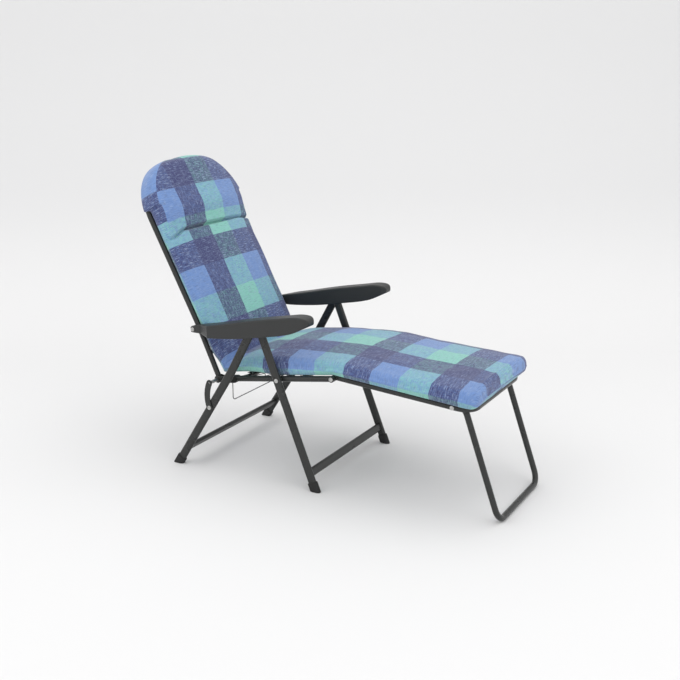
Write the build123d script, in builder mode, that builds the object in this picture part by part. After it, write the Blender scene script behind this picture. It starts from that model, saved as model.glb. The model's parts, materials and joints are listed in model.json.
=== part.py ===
from build123d import *
import os
from math import atan2, cos, degrees, radians, sin

# A folding deck lounger, facing +X, with the floor at z = 0 and the middle plane at y = 0.
# Lengths are in millimetres. The right side is the -Y side.

middle_x = -16.4


def side(x, z):
    """A point of the side view, on the middle plane."""
    return Vector(x - middle_x, 0, z)


def turned(angle):
    """The side view's unit direction at this angle above +X."""
    return Vector(cos(radians(angle)), 0, sin(radians(angle)))


def angle_of(direction):
    return degrees(atan2(direction.Z, direction.X))


# Places in the side view
apex = side(-168, 549)
seat_pivot = side(-95.1, 369)
hinge = side(-350, 328)
knee = side(103, 400)
rear_leg_bend = side(-262, 380)
front_foot = side(51, 0)
rear_foot = side(-506, 0)
link_pivot = side(-353.2, 238)
arm_pivot = side(-438, 499)
back_bend = side(-431, 505)
toe = side(579.8, 366.7)
leg_pivot = side(519, 371)
leg_bend = side(548, 362)
leg_floor = side(673.8, 10)

# Angles
recline_angle = 117.9

# Tubes
oval_width = 30.0
oval_depth = 15.0
tube = 20.0
back_tube = 19.0
tube_wall = 1.3
knuckle_radius = 10.3
knuckle_width = 18.6
bend_radius = 60.0
hoop_radius = 170.0
leg_radius = 40.0
footrest_radius = 50.0
rear_leg_radius = 300.0
back_bend_radius = 180.0

# Distances from the middle plane to the middle of each layer, all set out from the pads' edge
pad_half = 226.0
rail_proud = 4.0
hoop_layer = 23.0
leg_layer = 27.0
link_layer = 10.0
rail_y = pad_half + rail_proud
footrest_y = rail_y - hoop_layer
leg_y = footrest_y - leg_layer
front_leg_y = rail_y + hoop_layer
rear_leg_y = front_leg_y + leg_layer
link_y = rear_leg_y + link_layer

# Lengths along the tubes
hoop_rise = 574.0
apex_stub = 9.0
rail_gap = 34.0
back_end = 8.0
front_bar_up = 65.0
rear_bar_up = 78.0
rear_bar_place = 96.0
front_bar_place = 330.0
footrest_bar_place = 232.0
back_bar_place = 96.0
bar = 16.0
footrest_bar_width = 13.0
bar_top = 5.0

# Pins and rivets
pin_radius = 4.0
running_fit = 0.05
head_radius = 7.5
head_rise = 2.0
head_round = 1.6
sleeve_radius = 6.0
washer_radius = 9.0
face_gap = 0.3
through = 80.0

# Feet
cap_wall = 3.6
cap_height = 34.0
cap_edge = 3.0
sole = 13.0

# Hinge brackets and links
plate = 2.6
bracket_reach = 74.0
bracket_radius = 13.0
link_thickness = 3.0
link_width = 22.0
link_bulge = 9.0

# Armrests
arm_clear = 1.5
arm_inner_y = rail_y + back_tube / 2 + arm_clear
arm_width = 55.0
arm_wall = 2.4
arm_tongue = 17.0
arm_edge = 5.0
tongue_length = 34.0
rack_thickness = 8.0
rack_depth = 10.5
rack_front = 108.0
rack_rear = 24.0
rack_clear = 4.0
tooth_pitch = 20.0
tooth_radius = 5.0

# Fabric and laces, measured from the plane of the tubes' middles and from the rails' inner faces
sling = 1.2
sling_lift = 9.0
sling_margin = 28.0
sling_start = 92.0
sling_stop = 62.0
sling_short = 154.0
sling_rise = hoop_rise - sling_short
footrest_sling_length = 330.0
lace = 2.6
lace_lift = 6.5
lace_pitch = 24.0
lace_bend = 3.0
lace_margin = 0.5
lace_reach = 33.0
lace_start = 60.0

# Pads
pad_lift = 11.0
pad_edge = 56.0
pad_crown = 14.0
pad_bulge = 9.0
pad_draw = 12.0
pad_gap = 0.3
fold_reach = 84.0
seat_shares = (0.35, 0.7)
foot_shares = (0.4, 0.8)
toe_edge = 44.0
toe_over = 14.0
pillow_length = 252.0
pillow_start = hoop_rise - pillow_length
pillow_steps = (18.0, 2.0, -39.0, -104.0, -174.0, -229.0, -251.0)
pillow_edges = (46.0, 62.0, 72.0, 78.0, 76.0, 70.0, 54.0)
pillow_crown = 20.0
pillow_over = 20.0
hood_skirt = 10.0
hood_reach = hoop_radius + hood_skirt
hood = 3.0
hood_margin = 12.0

# Lock wire
wire = 3.0
wire_inset = 16.0
wire_y = rail_y - wire_inset
wire_drop = 83.0
wire_place = 44.0
wire_end_bend = 1.8
wire_bend = 12.0

seat_angle = angle_of(knee - hinge)
foot_angle = angle_of(toe - knee)
lower_back_angle = angle_of(back_bend - hinge)
seat_way = turned(seat_angle)
foot_way = turned(foot_angle)
back_way = turned(recline_angle)
lower_back_way = turned(lower_back_angle)
seat_length = (knee - hinge).length
foot_length = (toe - knee).length
hoop_top = back_bend + back_way * hoop_rise

os.makedirs("parts", exist_ok=True)


def keep(name, part):
    """Labels a finished piece and writes it."""
    part.label = name
    export_step(part, f"parts/{name}.step")


def keep_pair(name, part):
    """Keeps a piece of the right side, and its mirror image on the left."""
    keep(name + "_right", part)
    keep(name + "_left", mirror(part, about=Plane.XZ))


def at_y(point, y):
    return Vector(point.X, y, point.Z)


def cross_hole(point, y, radius):
    """Drills the current part along Y."""
    with Locations(at_y(point, y)):
        Cylinder(radius, through, rotation=(90, 0, 0), mode=Mode.SUBTRACT)


def route_line(points, bend):
    """A path through points, rounded at its corners."""
    if len(points) > 2:
        return FilletPolyline(*points, radius=bend)
    return Polyline(*points)


def oval_tube(points, y, bend=0):
    """A flat-oval tube along side-view points, its wide side facing outwards."""
    with BuildPart() as made:
        with BuildLine() as route:
            route_line([at_y(p, y) for p in points], bend)
        start = route.line % 0
        across = Vector(-start.Z, 0, start.X)
        with BuildSketch(Plane(origin=route.line @ 0, x_dir=across, z_dir=start)):
            SlotOverall(oval_width, oval_depth)
            SlotOverall(oval_width - 2 * tube_wall, oval_depth - 2 * tube_wall, mode=Mode.SUBTRACT)
        sweep()
    return made.part


def round_tube(points, diameter, bend, wall=tube_wall):
    """A round tube along points, bent at every corner."""
    with BuildPart() as made:
        with BuildLine() as route:
            route_line(points, bend)
        with BuildSketch(Plane(origin=route.line @ 0, z_dir=route.line % 0)):
            Circle(diameter / 2)
            if wall:
                Circle(diameter / 2 - wall, mode=Mode.SUBTRACT)
        sweep()
    return made.part


def cross_tube(point, half, diameter):
    """A round tube across the chair."""
    with BuildPart() as made:
        with BuildSketch(Plane.XZ.offset(-half)):
            with Locations((point.X, point.Z)):
                Circle(diameter / 2)
                Circle(diameter / 2 - tube_wall, mode=Mode.SUBTRACT)
        extrude(amount=2 * half)
    return made.part


def knuckle(point, y):
    """Rounds the end of the current tube over the pin that it turns on."""
    with Locations(at_y(point, y)):
        Cylinder(knuckle_radius, knuckle_width, rotation=(90, 0, 0))


def square_up(way):
    """The side view's unit direction square to this one, on the side that faces the sitter."""
    return Vector(-way.Z, 0, way.X) if way.X > way.Z else Vector(way.Z, 0, -way.X)


def disc(point, low, high, radius):
    """Adds a cylinder across the right side to the current part, between two distances from the middle."""
    with Locations(at_y(point, -(low + high) / 2)):
        Cylinder(radius, high - low, rotation=(90, 0, 0))


def rivet(point, inner_y, outer_y, collar=None, outer_head=True):
    """A rivet on the right side, with its shank between two faces, and a sleeve or not."""
    ends = [-1, 0] if outer_head else [-1]
    with BuildPart() as made:
        disc(point, inner_y - head_rise, inner_y, head_radius)
        disc(point, inner_y, outer_y, pin_radius)
        if outer_head:
            disc(point, outer_y, outer_y + head_rise, head_radius)
        rims = [made.faces().sort_by(Axis.Y)[end].edges() for end in ends]
        fillet([edge for rim in rims for edge in rim], head_round)
        if collar:
            disc(point, *collar)
    return made.part


# Front legs, their crossbar and feet
front_leg_way = (front_foot - apex).normalized()
front_leg_length = (front_foot - apex).length - sole
with BuildPart() as front_leg:
    add(oval_tube([apex - front_leg_way * apex_stub, apex + front_leg_way * front_leg_length], -front_leg_y))
    cross_hole(apex, -front_leg_y, pin_radius + running_fit)
    cross_hole(seat_pivot, -front_leg_y, pin_radius + running_fit)
keep_pair("front_leg", front_leg.part)


def crossbar(point, way, half):
    """A flat-oval bar across, its wide side along the legs."""
    bar_plane = Plane(origin=at_y(point, -half), x_dir=way, z_dir=(0, 1, 0))
    with BuildPart() as made:
        with BuildSketch(bar_plane):
            SlotOverall(oval_width, oval_depth)
            SlotOverall(oval_width - 2 * tube_wall, oval_depth - 2 * tube_wall, mode=Mode.SUBTRACT)
        extrude(amount=2 * half)
    return made.part


front_bar_at = front_foot - front_leg_way * front_bar_up
keep("front_crossbar", crossbar(front_bar_at, front_leg_way, front_leg_y - oval_depth / 2))


def foot_cap(foot, way, y):
    """A rubber cap over a leg's end, cut flat at the floor."""
    cap_plane = Plane(origin=at_y(foot, y) - way * cap_height, x_dir=(way.Z, 0, -way.X), z_dir=way)
    with BuildPart() as made:
        with BuildSketch(cap_plane):
            SlotOverall(oval_width + 2 * cap_wall, oval_depth + 2 * cap_wall)
        extrude(amount=cap_height + sole)
        ends = made.faces().sort_by(Axis(at_y(foot, y), way))
        fillet(ends[0].edges() + ends[-1].edges(), cap_edge)
        with BuildSketch(cap_plane):
            SlotOverall(oval_width, oval_depth)
        extrude(amount=cap_height - sole, mode=Mode.SUBTRACT)
        split(bisect_by=Plane.XY, keep=Keep.TOP)
    return made.part


keep_pair("front_foot", foot_cap(front_foot, front_leg_way, -front_leg_y))

# Rear legs, their crossbar and feet
rear_leg_way = (rear_foot - rear_leg_bend).normalized()
rear_top_way = (rear_leg_bend - apex).normalized()
rear_leg_low = rear_foot - rear_leg_way * sole
with BuildPart() as rear_leg:
    rear_leg_points = [apex - rear_top_way * apex_stub, rear_leg_bend, rear_leg_low]
    add(oval_tube(rear_leg_points, -rear_leg_y, rear_leg_radius))
    cross_hole(apex, -rear_leg_y, pin_radius + running_fit)
    cross_hole(link_pivot, -rear_leg_y, pin_radius + running_fit)
keep_pair("rear_leg", rear_leg.part)

rear_bar_at = rear_foot - rear_leg_way * rear_bar_up
keep("rear_crossbar", crossbar(rear_bar_at, rear_leg_way, rear_leg_y - oval_depth / 2))
keep_pair("rear_foot", foot_cap(rear_foot, rear_leg_way, -rear_leg_y))

# Pins of the leg frame, each with a sleeve between the two parts that it joins
front_inner = front_leg_y - oval_depth / 2
front_outer = front_leg_y + oval_depth / 2
rear_inner = rear_leg_y - oval_depth / 2
rear_outer = rear_leg_y + oval_depth / 2
rail_inner = rail_y - tube / 2
rail_outer = rail_y + tube / 2
keep_pair(
    "apex_pin",
    rivet(apex, front_inner, rear_outer, (front_outer + face_gap, rear_inner, sleeve_radius)),
)
seat_washer = (rail_outer + face_gap, front_inner, washer_radius)
keep_pair("seat_pin", rivet(seat_pivot, rail_inner - face_gap, front_outer, seat_washer))

# Links, bowed backwards, from the rear legs up to the hinge
link_inner = link_y - link_thickness / 2
link_outer = link_y + link_thickness / 2
link_way = (hinge - link_pivot).normalized()
link_back = Vector(-link_way.Z, 0, link_way.X)
link_middle = (hinge + link_pivot) / 2 + link_back * link_bulge
with BuildPart() as link:
    with BuildSketch(Plane.XZ.offset(link_inner)):
        with BuildLine():
            ThreePointArc(
                (hinge.X, hinge.Z),
                (link_middle.X, link_middle.Z),
                (link_pivot.X, link_pivot.Z),
            )
        trace(line_width=link_width)
        with Locations((hinge.X, hinge.Z), (link_pivot.X, link_pivot.Z)):
            Circle(link_width / 2)
    extrude(amount=link_thickness)
    cross_hole(link_pivot, -link_y, pin_radius + running_fit)
    cross_hole(hinge, -link_y, pin_radius)
keep_pair("link", link.part)
keep_pair(
    "link_rivet",
    rivet(link_pivot, rear_inner - face_gap, link_outer, (rear_outer + face_gap, link_inner, head_radius)),
)

# Seat frame: rails, bars and the brackets that hold the back
with BuildPart() as seat_rail:
    add(round_tube([at_y(hinge + seat_way * rail_gap, -rail_y), at_y(knee, -rail_y)], tube, bend_radius))
    knuckle(knee, -rail_y)
    cross_hole(seat_pivot, -rail_y, pin_radius + running_fit)
    cross_hole(knee, -rail_y, pin_radius + running_fit)
keep_pair("seat_rail", seat_rail.part)

bar_low = square_up(seat_way) * (bar_top - bar / 2)
keep("seat_rear_bar", cross_tube(hinge + seat_way * rear_bar_place + bar_low, rail_inner, bar))
keep("seat_front_bar", cross_tube(hinge + seat_way * front_bar_place + bar_low, rail_inner, bar))

bail_at = hinge + seat_way * wire_place
far_end = hinge + seat_way * bracket_reach


def bracket_side(y):
    """The outline of one plate of the bracket, at this distance from the middle."""
    with BuildSketch(Plane.XZ.offset(y)) as outline:
        with BuildLine():
            Line((hinge.X, hinge.Z), (far_end.X, far_end.Z))
        trace(line_width=tube)
        with Locations((hinge.X, hinge.Z)):
            Circle(bracket_radius)
        with Locations((far_end.X, far_end.Z)):
            Circle(tube / 2)
    return outline.sketch


with BuildPart() as bracket:
    for y in (rail_inner - plate, rail_outer):
        extrude(bracket_side(y), amount=plate)
    cross_hole(hinge, -rail_y, pin_radius + running_fit)
    with BuildSketch(Plane.XZ.offset(rail_inner - plate)):
        with Locations((bail_at.X, bail_at.Z)):
            Circle(wire / 2 + running_fit)
    extrude(amount=plate, mode=Mode.SUBTRACT)
    web_at = hinge + seat_way * (bracket_reach + rail_gap) / 2 - square_up(seat_way) * (tube + plate) / 2
    with BuildSketch(Plane(origin=at_y(web_at, -rail_y), x_dir=seat_way, z_dir=(0, -1, 0))):
        Rectangle(bracket_reach - rail_gap, plate)
    extrude(amount=tube / 2 + plate, both=True)
keep_pair("hinge_bracket", bracket.part)

# Hinge pins: each holds the back, the bracket and, past the rear leg, stops short of the link
keep_pair(
    "hinge_pin",
    rivet(
        hinge,
        rail_inner - plate - face_gap,
        link_inner - face_gap,
        (rail_outer + plate + face_gap, rear_inner, sleeve_radius),
        False,
    ),
)

# Back frame: the hoop and a bar low down
hoop_points = [
    at_y(hinge - lower_back_way * back_end, -rail_y),
    at_y(back_bend, -rail_y),
    at_y(hoop_top, -rail_y),
    at_y(hoop_top, rail_y),
    at_y(back_bend, rail_y),
    at_y(hinge - lower_back_way * back_end, rail_y),
]
hoop_bends = [back_bend_radius, hoop_radius, hoop_radius, back_bend_radius]
with BuildPart() as back_hoop:
    add(round_tube(hoop_points, back_tube, hoop_bends))
    for y in (-rail_y, rail_y):
        cross_hole(hinge, y, pin_radius + running_fit)
        cross_hole(arm_pivot, y, pin_radius + running_fit)
keep("back_hoop", back_hoop.part)
back_bar_at = hinge + lower_back_way * back_bar_place + square_up(lower_back_way) * (bar_top - bar / 2)
keep("back_bar", cross_tube(back_bar_at, rail_y - back_tube / 2, bar))

# Footrest frame: a hoop with a bar, on pins at the knee
footrest_points = [
    at_y(knee, -footrest_y),
    at_y(toe, -footrest_y),
    at_y(toe, footrest_y),
    at_y(knee, footrest_y),
]
with BuildPart() as footrest_hoop:
    add(round_tube(footrest_points, tube, footrest_radius))
    for y in (-footrest_y, footrest_y):
        knuckle(knee, y)
        cross_hole(knee, y, pin_radius + running_fit)
        cross_hole(leg_pivot, y, pin_radius + running_fit)
keep("footrest_hoop", footrest_hoop.part)
foot_inner = footrest_y - tube / 2
foot_outer = footrest_y + tube / 2
footrest_bar_low = square_up(foot_way) * (bar_top - footrest_bar_width / 2)
footrest_bar_at = knee + foot_way * footrest_bar_place + footrest_bar_low
keep("footrest_bar", cross_tube(footrest_bar_at, foot_inner, footrest_bar_width))
knee_washer = (foot_outer + face_gap, rail_inner - face_gap, washer_radius)
keep_pair("knee_pin", rivet(knee, foot_inner - face_gap, rail_outer + face_gap, knee_washer))

# Foot leg: one bent tube that stands on the floor
leg_points = [
    at_y(leg_pivot, -leg_y),
    at_y(leg_bend, -leg_y),
    at_y(leg_floor, -leg_y),
    at_y(leg_floor, leg_y),
    at_y(leg_bend, leg_y),
    at_y(leg_pivot, leg_y),
]
with BuildPart() as foot_leg:
    add(round_tube(leg_points, tube, leg_radius))
    for y in (-leg_y, leg_y):
        knuckle(leg_pivot, y)
        cross_hole(leg_pivot, y, pin_radius + running_fit)
keep("foot_leg", foot_leg.part)
leg_inner = leg_y - tube / 2
leg_washer = (leg_y + tube / 2 + face_gap, foot_inner - face_gap, washer_radius)
keep_pair("leg_pin", rivet(leg_pivot, leg_inner - face_gap, foot_outer + face_gap, leg_washer))

# Armrests: hollow from below, with a tongue at the rear for the rivet
arm_top = [(-447, 508), (-410, 519), (-285, 546), (-197, 567), (-96, 588), (-30, 601)]
arm_nose = [(15, 607), (49, 592), (44, 578)]
arm_bottom = [(-5, 553), (-95, 528), (-150, 517), (-205, 506), (-280, 495), (-350, 488), (-445, 487)]
arm_outer_y = arm_inner_y + arm_width


def arm_outline():
    """The armrest from the side."""
    top, nose, bottom = ([(x - middle_x, z) for x, z in run] for run in (arm_top, arm_nose, arm_bottom))
    with BuildSketch() as outline:
        with BuildLine():
            upper = Spline(*top, *nose, tangents=(Vector(2, 1), Vector(-2, -1)))
            lower = Spline(nose[-1], *bottom, tangents=(Vector(-2, -1), Vector(-1, 0)))
            Line(lower @ 1, upper @ 0)
        make_face()
    return outline.sketch


nose_x = arm_nose[1][0] - middle_x
rear_x = arm_top[0][0] - middle_x
tongue_x = arm_pivot.X + tongue_length
shoulder_x = tongue_x + arm_width
nose_round_x = nose_x - arm_width / 3
with BuildPart() as armrest:
    with BuildSketch(Plane.XZ.offset(arm_inner_y)):
        add(arm_outline())
    extrude(amount=arm_width)
    with BuildSketch(Plane.XY):
        with BuildLine():
            Polyline(
                (nose_round_x, -arm_outer_y),
                (shoulder_x, -arm_outer_y),
                (tongue_x, -arm_inner_y - arm_tongue),
                (rear_x - arm_edge, -arm_inner_y - arm_tongue),
                (rear_x - arm_edge, -arm_inner_y),
                (nose_round_x, -arm_inner_y),
            )
            ThreePointArc(
                (nose_round_x, -arm_inner_y),
                (nose_x + arm_edge, -arm_inner_y - arm_width / 2),
                (nose_round_x, -arm_outer_y),
            )
        make_face()
    extrude(amount=apex.Z * 2, mode=Mode.INTERSECT)
    fillet(armrest.faces().sort_by(SortBy.AREA)[-1].edges(), arm_edge)
    with BuildSketch(Plane.XZ.offset(arm_inner_y + arm_wall)):
        with BuildLine():
            ceiling = Spline(*[(x - middle_x, z - arm_wall) for x, z in arm_top[2:]])
            corners = [((ceiling @ 0).X, 0), ((ceiling @ 1).X, 0)]
            Polyline(ceiling @ 0, *corners, ceiling @ 1)
        make_face()
    extrude(amount=arm_width - 2 * arm_wall, mode=Mode.SUBTRACT)
    cross_hole(arm_pivot, -arm_inner_y, pin_radius + running_fit)
keep_pair("armrest", armrest.part)

# Toothed racks inside the armrests, between the legs' tops, above the pin's sleeve
rack_way = (apex - arm_pivot).normalized()
rack_up = Vector(-rack_way.Z, 0, rack_way.X)
rack_low = apex + rack_up * (sleeve_radius + running_fit + rack_clear)
rack_plane = Plane(
    origin=at_y(rack_low, -(front_outer + rear_inner) / 2),
    x_dir=rack_way,
    z_dir=(0, -1, 0),
)
tooth_range = range(-1, int(rack_front / tooth_pitch) + 1)
with BuildPart() as rack:
    with BuildSketch(rack_plane):
        with Locations(((rack_front - rack_rear) / 2, rack_depth / 2)):
            Rectangle(rack_front + rack_rear, rack_depth)
        with Locations(*[(tooth * tooth_pitch, 0) for tooth in tooth_range]):
            Circle(tooth_radius, mode=Mode.SUBTRACT)
    extrude(amount=rack_thickness / 2, both=True)
keep_pair("rack", rack.part)

# Rivets of the armrests, through the back's tubes
back_inner = rail_y - back_tube / 2
back_outer = rail_y + back_tube / 2
keep_pair(
    "arm_rivet",
    rivet(
        arm_pivot,
        back_inner - face_gap,
        arm_inner_y + arm_tongue + face_gap,
        (back_outer + face_gap / 2, arm_inner_y - face_gap / 2, washer_radius),
    ),
)


def cloth(name, points, front, half):
    """A flat sheet of cloth between the rails, following side-view points."""
    lifted = [point + front * sling_lift for point in points]
    with BuildPart() as made:
        with BuildSketch(Plane.XZ):
            with BuildLine():
                Polyline(*[(point.X, point.Z) for point in lifted])
            trace(line_width=sling)
        extrude(amount=half, both=True)
    keep(name, made.part)


def laces(name, start, way, length, rail_face):
    """Elastic cord in a zigzag between the cloth's hem and the rail, along a straight stretch."""
    points = []
    for turn in range(int(length / lace_pitch) + 1):
        place = start + way * (turn * lace_pitch) + square_up(way) * lace_lift
        inwards = lace_reach if turn % 2 else lace_margin
        points.append(at_y(place, inwards - rail_face))
    keep_pair(name, round_tube(points, lace, lace_bend, 0))


# Cloth and laces of the seat, the back and the footrest
seat_sling_at = hinge + seat_way * sling_start
seat_sling_length = seat_length - sling_start - sling_stop
seat_sling_end = seat_sling_at + seat_way * seat_sling_length
cloth("seat_sling", [seat_sling_at, seat_sling_end], square_up(seat_way), rail_inner - sling_margin)
laces("seat_lace", seat_sling_at, seat_way, seat_sling_length, rail_inner)
back_sling_points = [
    hinge + lower_back_way * (back_bar_place + bar),
    back_bend,
    back_bend + back_way * sling_rise,
]
cloth("back_sling", back_sling_points, square_up(back_way), back_inner - sling_margin)
laces("back_lace", back_bend + back_way * lace_start, back_way, sling_rise - lace_start, back_inner)
footrest_sling_at = knee + foot_way * sling_stop
footrest_sling_end = footrest_sling_at + foot_way * footrest_sling_length
footrest_sling_points = [footrest_sling_at, footrest_sling_end]
cloth("footrest_sling", footrest_sling_points, square_up(foot_way), foot_inner - sling_margin)
laces("footrest_lace", footrest_sling_at, foot_way, footrest_sling_length, foot_inner)


def pad_section(place, way, half=pad_half, edge=pad_edge, crown=pad_crown, cut=None):
    """A pad's outline across the chair, on a plane square to the way or along a slanting cut."""
    cut = cut or way
    share = 1 / way.dot(cut)
    with BuildSketch(Plane(origin=place, x_dir=(0, 1, 0), z_dir=cut)) as outline:
        with BuildLine():
            low = pad_lift * share
            high = edge * share
            bottom = Line((-half, low), (half, low))
            ThreePointArc(bottom @ 1, (half + pad_bulge, (low + high) / 2), (half - pad_draw, high))
            ThreePointArc((half - pad_draw, high), (0, high + crown * share), (pad_draw - half, high))
            ThreePointArc((pad_draw - half, high), (-half - pad_bulge, (low + high) / 2), bottom @ 0)
        make_face()
    return outline.sketch


def pad(name, sections, ruled=False):
    """A stuffed pad, lofted through its outlines."""
    with BuildPart() as made:
        loft(sections, ruled=ruled)
    keep(name, made.part)


def folding_pad(name, point, before, cut, after):
    """The short stretch of pad that folds over a hinge, with a slanting section in its middle."""
    pad(name, [
        pad_section(point - before * fold_reach, before),
        pad_section(point, before, cut=cut),
        pad_section(point + after * fold_reach, after),
    ], True)


# Pads of the seat and the footrest, and the stretches that fold at the hinge and at the knee
crease_way = turned((seat_angle + lower_back_angle) / 2 - 90)
knee_way = turned((seat_angle + foot_angle) / 2)
down_back = back_way * -1
folding_pad("hinge_pad", hinge, lower_back_way * -1, crease_way, seat_way)
folding_pad("knee_pad", knee, seat_way, knee_way, foot_way)
fold_end = fold_reach + pad_gap
seat_sections = [pad_section(hinge + seat_way * fold_end, seat_way)]
seat_sections += [pad_section(hinge + seat_way * seat_length * share, seat_way) for share in seat_shares]
seat_sections += [pad_section(knee - seat_way * fold_end, seat_way)]
pad("seat_pad", seat_sections)
foot_sections = [pad_section(knee + foot_way * fold_end, foot_way)]
foot_sections += [pad_section(knee + foot_way * foot_length * share, foot_way) for share in foot_shares]
foot_sections += [pad_section(toe + foot_way * toe_over, foot_way, pad_half - pad_draw, toe_edge)]
pad("footrest_pad", foot_sections)
back_sections = [
    pad_section(back_bend + back_way * (pillow_start - pad_gap), down_back),
    pad_section(back_bend + back_way * pillow_start / 2, down_back),
    pad_section(back_bend + back_way * bend_radius, down_back),
    pad_section(hinge + lower_back_way * fold_end, lower_back_way * -1),
]
pad("back_pad", back_sections)


def arch_half(rise):
    """Half the pillow's width at this rise above the bend, following the hoop."""
    above = max(rise - hoop_rise + hoop_radius, 0)
    reach = hoop_radius + pillow_over
    return min(pad_half, pad_half - hoop_radius + (reach ** 2 - above ** 2) ** 0.5)


pad("head_pillow", [
    pad_section(back_bend + back_way * rise, down_back, arch_half(rise), edge, pillow_crown)
    for rise, edge in zip([hoop_rise + step for step in pillow_steps], pillow_edges)
])

# Cloth hood behind the top of the hoop
hood_plane = Plane(origin=back_bend, x_dir=(0, 1, 0), z_dir=square_up(back_way) * -1)
with BuildPart() as hood_piece:
    with BuildSketch(hood_plane.offset(back_tube / 2 + face_gap)) as hood_outline:
        with Locations((0, hood_reach / 2 - hoop_rise)):
            Rectangle(2 * rail_y, hood_reach)
        fillet(hood_outline.vertices().sort_by(Axis.Y)[:2], hoop_radius)
        offset(amount=hood_margin)
    extrude(amount=hood)
keep("hood", hood_piece.part)

# Wire bail that hangs from the seat rails and locks the frame open
bail_low = bail_at - Vector(0, 0, wire_drop)
bail_points = [
    at_y(bail_at, face_gap - rail_inner),
    at_y(bail_at, -wire_y),
    at_y(bail_low, -wire_y),
    at_y(bail_low, wire_y),
    at_y(bail_at, wire_y),
    at_y(bail_at, rail_inner - face_gap),
]
bail_bends = [wire_end_bend, wire_bend, wire_bend, wire_end_bend]
keep("lock_wire", round_tube(bail_points, wire, bail_bends, 0))
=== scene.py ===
import json
from math import atan2, cos, pi, radians, sin

import bmesh
import bpy
import numpy as np
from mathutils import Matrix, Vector
from mathutils import noise as perlin


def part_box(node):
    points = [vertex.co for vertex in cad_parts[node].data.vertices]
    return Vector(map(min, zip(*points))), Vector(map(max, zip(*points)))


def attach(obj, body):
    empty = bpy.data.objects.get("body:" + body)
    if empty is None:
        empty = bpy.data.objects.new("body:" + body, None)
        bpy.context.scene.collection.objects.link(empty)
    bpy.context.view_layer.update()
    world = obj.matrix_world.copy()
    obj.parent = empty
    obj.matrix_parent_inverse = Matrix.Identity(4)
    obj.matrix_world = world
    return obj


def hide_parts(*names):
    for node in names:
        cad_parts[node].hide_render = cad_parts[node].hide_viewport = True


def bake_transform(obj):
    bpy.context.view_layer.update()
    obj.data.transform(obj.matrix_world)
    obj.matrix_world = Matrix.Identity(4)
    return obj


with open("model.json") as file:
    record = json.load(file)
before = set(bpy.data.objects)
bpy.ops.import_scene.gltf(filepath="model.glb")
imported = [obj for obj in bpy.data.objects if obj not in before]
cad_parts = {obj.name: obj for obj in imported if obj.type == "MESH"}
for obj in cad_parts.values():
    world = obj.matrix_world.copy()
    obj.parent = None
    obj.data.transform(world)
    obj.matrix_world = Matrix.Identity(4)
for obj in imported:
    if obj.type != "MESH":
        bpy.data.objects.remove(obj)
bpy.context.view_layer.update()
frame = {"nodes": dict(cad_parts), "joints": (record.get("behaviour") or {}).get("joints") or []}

# A folding deck lounger with a thick plaid cushion, in metres. The camera looks down on it a little
# from its front right, in the photograph's square frame.
focus = Vector((0.0164, 0.0, 0.4592))
camera_azimuth, camera_elevation, camera_distance = radians(29.82), radians(16.07), 3.4773
camera_way = Vector((
    sin(camera_azimuth) * cos(camera_elevation),
    -cos(camera_azimuth) * cos(camera_elevation),
    sin(camera_elevation),
))


def stand(name, data):
    """Puts an object with this data in the scene."""
    thing = bpy.data.objects.new(name, data)
    bpy.context.scene.collection.objects.link(thing)
    return thing


camera = stand("camera", bpy.data.cameras.new("camera"))
camera.data.sensor_width = 36.0
camera.data.lens = 53.14
camera.location = focus + camera_way * camera_distance
camera.rotation_euler = camera_way.to_track_quat("Z", "Y").to_euler()
bpy.context.scene.camera = camera
bpy.context.scene.view_settings.view_transform = "Standard"

# The frame: bent steel tube, some of it rolled flat-oval, pressed brackets and links, all in one
# satin anthracite enamel that is baked on, with a faint orange peel and dull scuffs.
anthracite = (0.022, 0.023, 0.022)
frame_dullness, link_dullness = 0.22, 0.34


class Value:
    """One output of a shader node. Arithmetic on it adds Math nodes."""

    def __init__(self, finish, socket):
        self.finish = finish
        self.socket = socket

    def maths(self, operation, *others):
        return self.finish.node("ShaderNodeMath", {"operation": operation}, self, *others)

    def __add__(self, other):
        return self.maths("ADD", other)

    def __mul__(self, other):
        return self.maths("MULTIPLY", other)

    def __sub__(self, other):
        return self.maths("SUBTRACT", other)

    def __truediv__(self, other):
        return self.maths("DIVIDE", other)

    def __rsub__(self, other):
        return self.finish.node("ShaderNodeMath", {"operation": "SUBTRACT"}, other, self)

    __radd__ = __add__
    __rmul__ = __mul__

    def above(self, edge):
        return self.maths("GREATER_THAN", edge)

    def below(self, edge):
        return self.maths("LESS_THAN", edge)

    def between(self, low, high):
        """0 under low, 1 over high and smooth between them."""
        settings = {"interpolation_type": "SMOOTHSTEP"}
        return self.finish.node("ShaderNodeMapRange", settings, self, low, high)


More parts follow.
